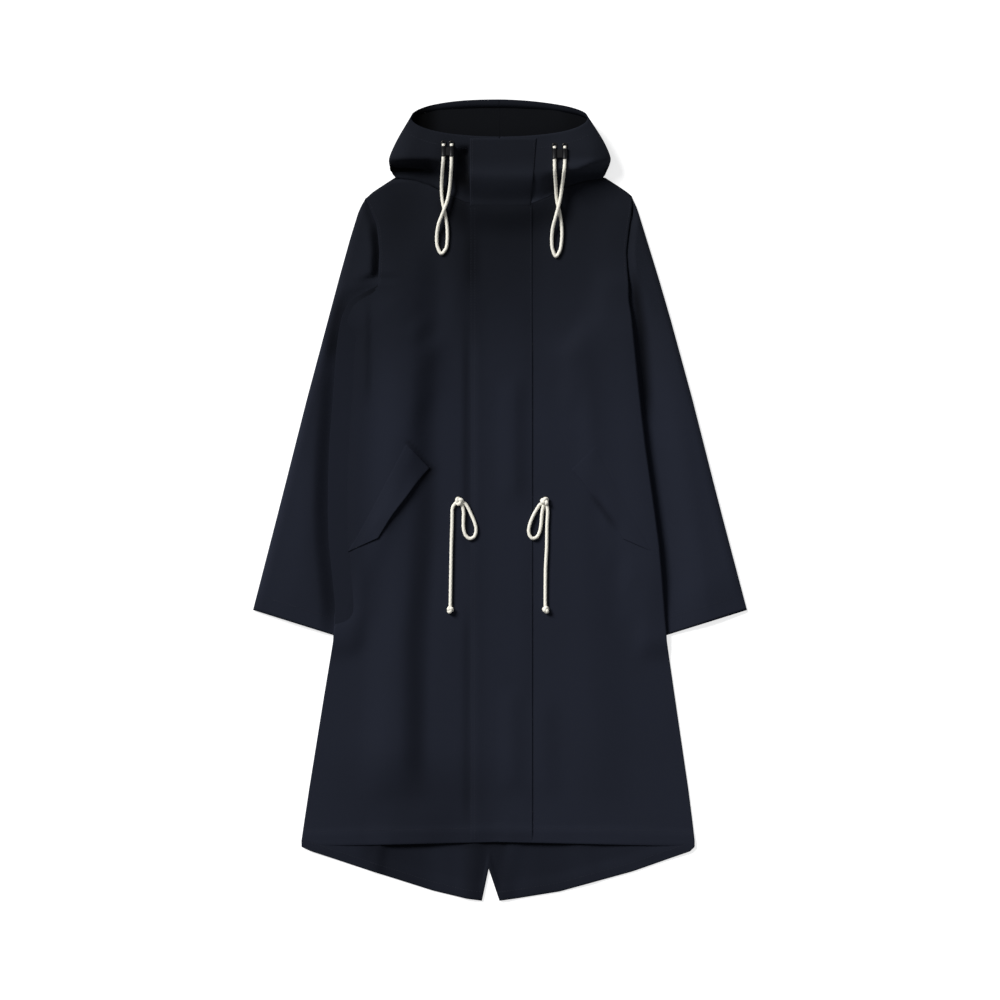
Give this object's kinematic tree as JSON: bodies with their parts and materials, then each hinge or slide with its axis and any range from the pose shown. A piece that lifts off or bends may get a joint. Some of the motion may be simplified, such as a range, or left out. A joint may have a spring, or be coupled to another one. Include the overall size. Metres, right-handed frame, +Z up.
{
  "type": "hooded parka laid flat",
  "caption": "Long hooded fishtail parka laid flat face up, with a fly front, slanted pocket flaps and cream drawcords at hood and waist.",
  "frame": {"origin": "on the surface the coat lies on, under the middle of its bounding box", "axes": "+Y from the fishtail hem to the hood, +Z up off the surface, +X towards the wearer's left sleeve"},
  "size_m": [0.741, 1.2, 0.0451],
  "materials": {
    "shell": "dark navy tightly woven cotton, matt with a faint sheen",
    "cord": "cream braided cotton cord",
    "fittings": "black moulded plastic, satin"
  },
  "bodies": {
    "root": {"front_right": "shell", "front_left": "shell", "back": "shell", "sleeve_right": "shell", "sleeve_left": "shell", "hood_right": "shell", "hood_left": "shell", "hood_crown": "shell", "placket": "shell", "throat_flap": "shell", "pocket_flap_right": "shell", "pocket_flap_left": "shell", "eyelet_hood_right_outer": "fittings", "eyelet_hood_right_inner": "fittings", "eyelet_waist_right": "fittings", "toggle_right": "fittings", "cord_hood_right": "cord", "cord_waist_loop_right": "cord", "cord_waist_tail_right": "cord", "knot_waist_right": "cord", "knot_end_right": "cord", "eyelet_hood_left_outer": "fittings", "eyelet_hood_left_inner": "fittings", "eyelet_waist_left": "fittings", "toggle_left": "fittings", "cord_hood_left": "cord", "cord_waist_loop_left": "cord", "cord_waist_tail_left": "cord", "knot_waist_left": "cord", "knot_end_left": "cord"}
  },
  "joints": []
}
